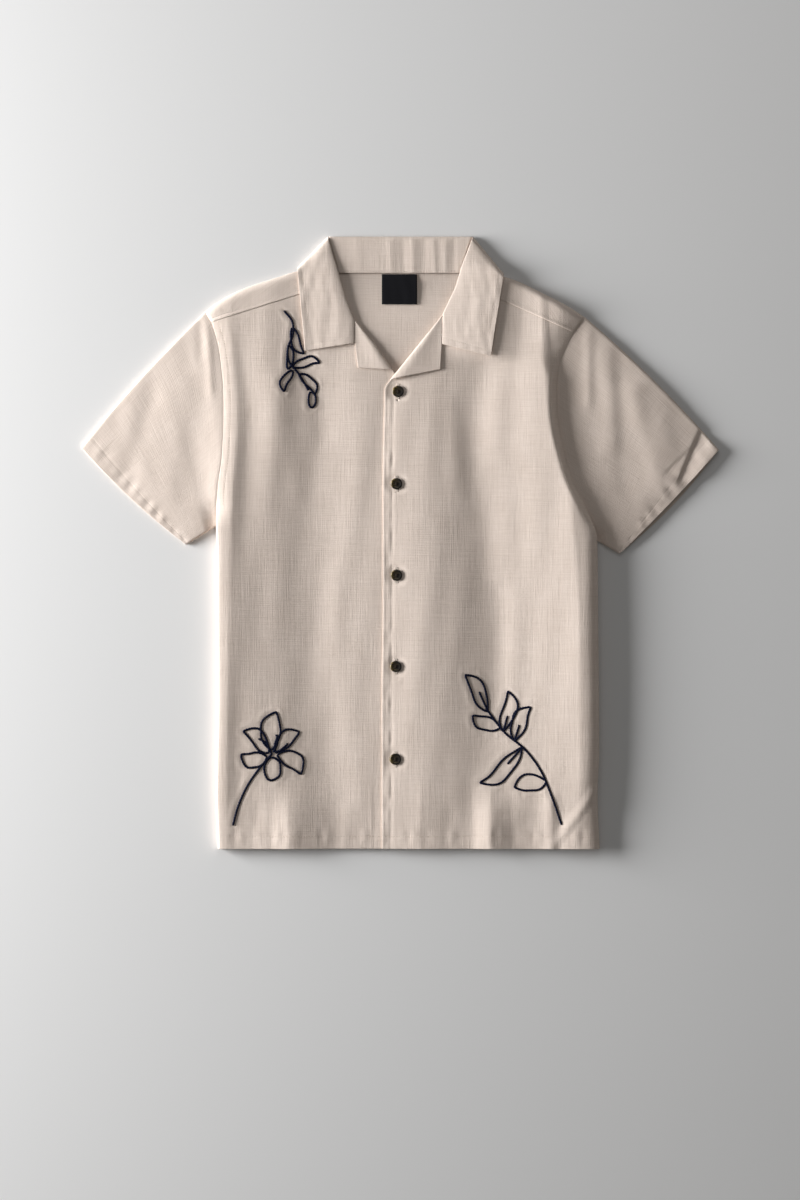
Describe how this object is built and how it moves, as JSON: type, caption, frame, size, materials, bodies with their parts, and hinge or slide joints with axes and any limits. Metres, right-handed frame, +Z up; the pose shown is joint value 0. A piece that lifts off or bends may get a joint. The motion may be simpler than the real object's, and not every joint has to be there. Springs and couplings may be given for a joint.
{
  "type": "short-sleeved embroidered shirt with an open collar, laid flat",
  "caption": "Short-sleeved cotton shirt with an open notched collar and navy line embroidery, buttoned and laid flat with its front up.",
  "frame": {"origin": "under the middle of the shirt's box, on the surface that it lies on", "axes": "+Z up, away from that surface; +Y from the hem to the collar; +X to the wearer's left"},
  "size_m": [0.7774, 0.7462, 0.0153],
  "materials": {
    "shirt_cloth": "matte",
    "label_cloth": "matte",
    "button_dark": "gloss",
    "navy_thread": "satin",
    "sewing_thread": "satin"
  },
  "bodies": {
    "root": {"back": "shirt_cloth", "front_left": "shirt_cloth", "front_right": "shirt_cloth", "sleeve_left": "shirt_cloth", "sleeve_right": "shirt_cloth", "collar": "shirt_cloth", "lapel_facing_left": "shirt_cloth", "lapel_facing_right": "shirt_cloth", "label": "label_cloth", "button_1": "button_dark", "button_2": "button_dark", "button_3": "button_dark", "button_4": "button_dark", "button_5": "button_dark"}
  },
  "joints": []
}
